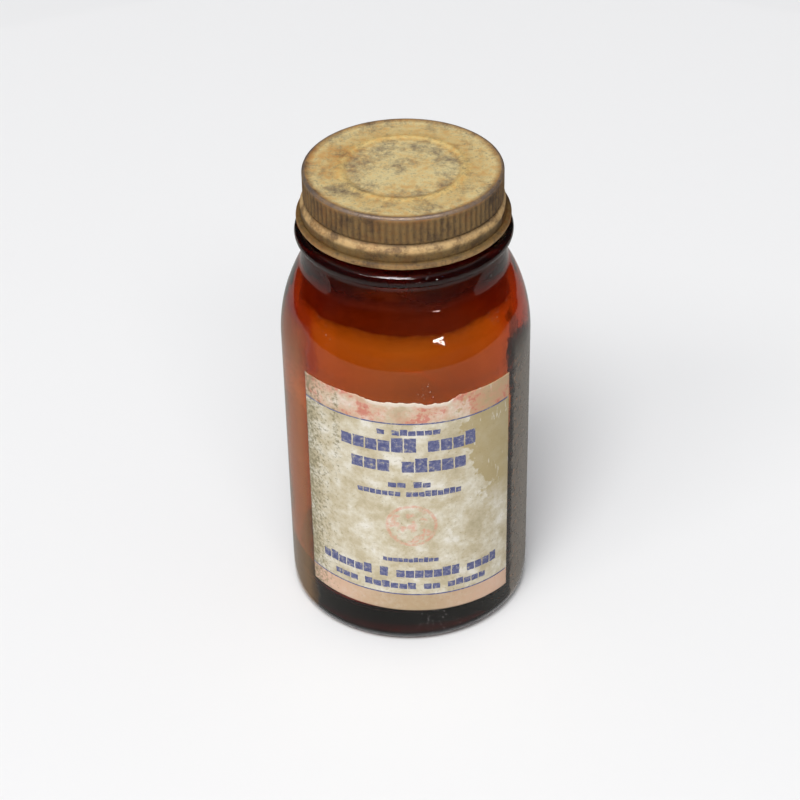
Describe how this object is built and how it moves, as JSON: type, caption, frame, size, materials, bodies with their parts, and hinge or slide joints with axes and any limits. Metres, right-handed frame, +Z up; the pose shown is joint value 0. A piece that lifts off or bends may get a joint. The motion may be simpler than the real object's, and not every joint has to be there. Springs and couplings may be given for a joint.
{
  "type": "medicine bottle",
  "caption": "Wide-mouth amber glass pharmacy bottle with a knurled, rusted tinplate screw cap and an aged paper label.",
  "frame": {"origin": "centre of the base on the bottle's axis, on the surface that it stands on", "axes": "+Z up along the bottle's axis, the label faces -Y, +X to the right of someone reading the label"},
  "size_m": [0.0512, 0.0514, 0.1017],
  "materials": {
    "amber_glass": "gloss pressed-and-blown amber glass with a dusty film",
    "rusted_tinplate": "matt ochre rust over dull tinplate",
    "pulpboard": "matt pressed pulp",
    "waxed_paper": "satin waxed paper",
    "aged_paper": "matt aged paper, stained and worn"
  },
  "bodies": {
    "bottle": {"bottle": "amber_glass", "front_label": "aged_paper"},
    "seal": {"cap_liner": "pulpboard", "liner_facing": "waxed_paper"},
    "cap": {"cap_shell": "rusted_tinplate"}
  },
  "joints": [
    {"name": "cap_lift", "type": "slide", "parent": "bottle", "child": "seal", "axis": [0, 0, 1], "range_m": [0, 0.01482]},
    {"name": "cap_turn", "type": "hinge", "parent": "seal", "child": "cap", "pos_m": [0, 0, 0.0995], "axis": [0, 0, 1], "range_deg": [0, 1260]}
  ],
  "couplings": [
    {"joint": "cap_lift", "follows": "cap_turn", "m_per_rad": 0.00067376}
  ]
}
